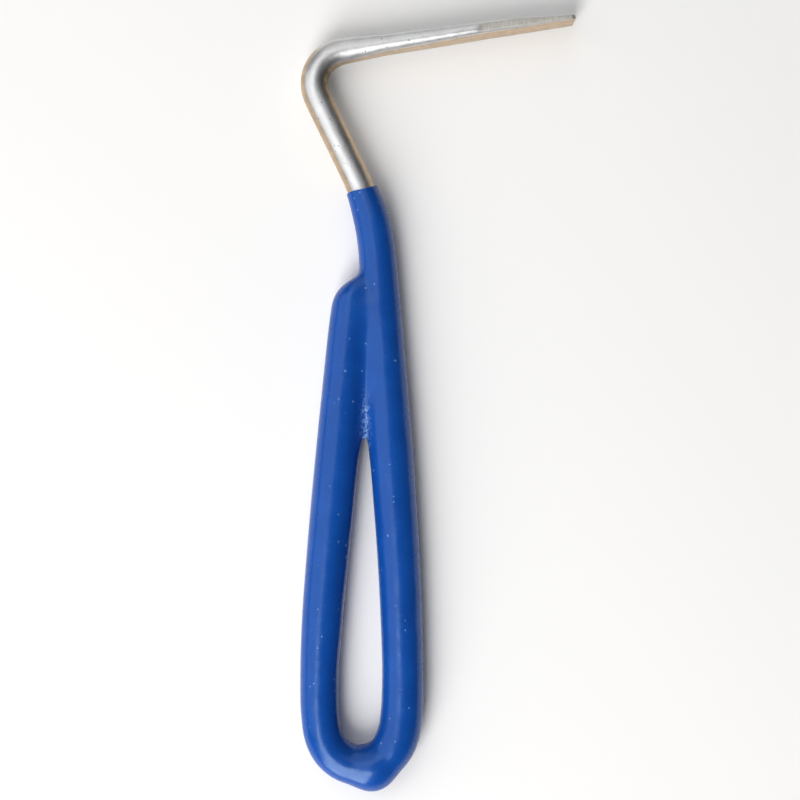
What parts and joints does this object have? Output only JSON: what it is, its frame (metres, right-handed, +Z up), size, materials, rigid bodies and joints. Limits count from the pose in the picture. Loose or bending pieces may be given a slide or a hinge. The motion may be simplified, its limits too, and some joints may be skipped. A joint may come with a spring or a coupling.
{
  "type": "hoof pick",
  "caption": "Hand hoof pick: a bent plated steel rod with an angled flat pick, and a blue vinyl-dipped handle that forms a long narrow hanging loop.",
  "frame": {"origin": "centre of the base of the box round the whole tool, as it lies flat", "axes": "+Y from the hanging loop towards the head, +X the way the pick points, +Z up through the tool's thickness"},
  "size_m": [0.0635, 0.179, 0.0101],
  "materials": {
    "plated_steel": "satin zinc plate with small pits and scratches",
    "weld_steel": "bare weld bead, hidden under the vinyl",
    "blue_vinyl": "dipped soft vinyl, semi-gloss, slightly wavy"
  },
  "bodies": {
    "root": {"steel_rod": "plated_steel", "tack_weld": "weld_steel", "vinyl_grip": "blue_vinyl"}
  },
  "joints": []
}
